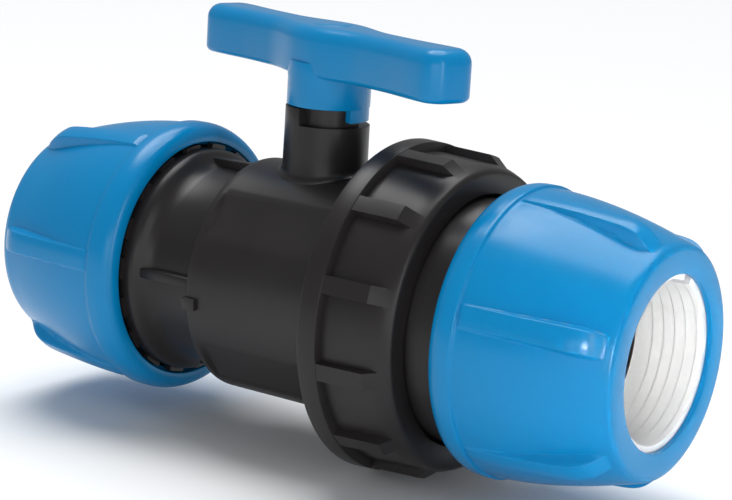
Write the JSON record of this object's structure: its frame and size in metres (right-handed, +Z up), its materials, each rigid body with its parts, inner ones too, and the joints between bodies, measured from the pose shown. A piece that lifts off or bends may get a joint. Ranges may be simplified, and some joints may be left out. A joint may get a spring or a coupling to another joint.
{
  "type": "compression ball valve",
  "caption": "Plastic ball valve for polyethylene pipe, with a compression fitting at each end, a union on one side and a quarter-turn T-handle on top.",
  "frame": {"origin": "centre of the ball, where the pipe axis meets the stem axis", "axes": "+X along the pipe axis to the union side, +Z up the stem axis to the handle, +Y completes the right-handed frame"},
  "size_m": [0.3051, 0.1366, 0.1792],
  "materials": {
    "black_pp": "satin moulded polypropylene",
    "blue_pp": "semi-gloss moulded polypropylene",
    "white_pom": "smooth white acetal",
    "white_pp": "polished ball",
    "ptfe": "smooth white PTFE",
    "nbr": "smooth black rubber",
    "stainless": "stainless steel"
  },
  "bodies": {
    "body": {"valve_body": "black_pp", "seat_left": "ptfe", "seat_right": "ptfe", "seat_cushion_left": "nbr", "seat_cushion_right": "nbr", "seat_carrier": "black_pp", "seat_carrier_o_ring": "nbr", "stem_washer": "ptfe", "pipe_o_ring_left": "nbr"},
    "handle_set": {"handle": "blue_pp", "handle_screw": "stainless", "handle_cap": "blue_pp", "stem": "black_pp", "stem_o_ring_lower": "nbr", "stem_o_ring_upper": "nbr"},
    "ball": {"ball": "white_pp"},
    "left_grip": {"clinch_ring_left": "white_pom", "thrust_ring_left": "black_pp"},
    "left_nut": {"compression_nut_left": "blue_pp"},
    "tailpiece": {"union_tailpiece": "black_pp", "union_o_ring": "nbr", "pipe_o_ring_right": "nbr"},
    "union_nut": {"union_nut": "black_pp"},
    "right_grip": {"clinch_ring_right": "white_pom", "thrust_ring_right": "black_pp"},
    "right_nut": {"compression_nut_right": "blue_pp"}
  },
  "joints": [
    {"name": "handle_turn", "type": "hinge", "parent": "body", "child": "handle_set", "pos_m": [0, 0, 0.06], "axis": [0, 0, 1], "range_deg": [-73, 17]},
    {"name": "ball_turn", "type": "hinge", "parent": "body", "child": "ball", "pos_m": [0, 0, 0], "axis": [0, 0, 1], "range_deg": [-73.1, 17.1]},
    {"name": "left_grip_travel", "type": "slide", "parent": "body", "child": "left_grip", "axis": [-1, 0, 0], "range_m": [0, 0.02401]},
    {"name": "left_nut_turn", "type": "hinge", "parent": "left_grip", "child": "left_nut", "pos_m": [-0.1, 0, 0], "axis": [-1, 0, 0], "range_deg": [0, 1440]},
    {"name": "tailpiece_travel", "type": "slide", "parent": "body", "child": "tailpiece", "axis": [1, 0, 0], "range_m": [0, 0.01501]},
    {"name": "union_nut_turn", "type": "hinge", "parent": "tailpiece", "child": "union_nut", "pos_m": [0.06, 0, 0], "axis": [1, 0, 0], "range_deg": [0, 900]},
    {"name": "right_grip_travel", "type": "slide", "parent": "tailpiece", "child": "right_grip", "axis": [1, 0, 0], "range_m": [0, 0.02401]},
    {"name": "right_nut_turn", "type": "hinge", "parent": "right_grip", "child": "right_nut", "pos_m": [0.127, 0, 0], "axis": [1, 0, 0], "range_deg": [0, 1440]}
  ],
  "couplings": [
    {"joint": "ball_turn", "follows": "handle_turn", "ratio": 1},
    {"joint": "left_grip_travel", "follows": "left_nut_turn", "m_per_rad": 0.00095493},
    {"joint": "tailpiece_travel", "follows": "union_nut_turn", "m_per_rad": 0.00095493},
    {"joint": "right_grip_travel", "follows": "right_nut_turn", "m_per_rad": 0.00095493}
  ]
}
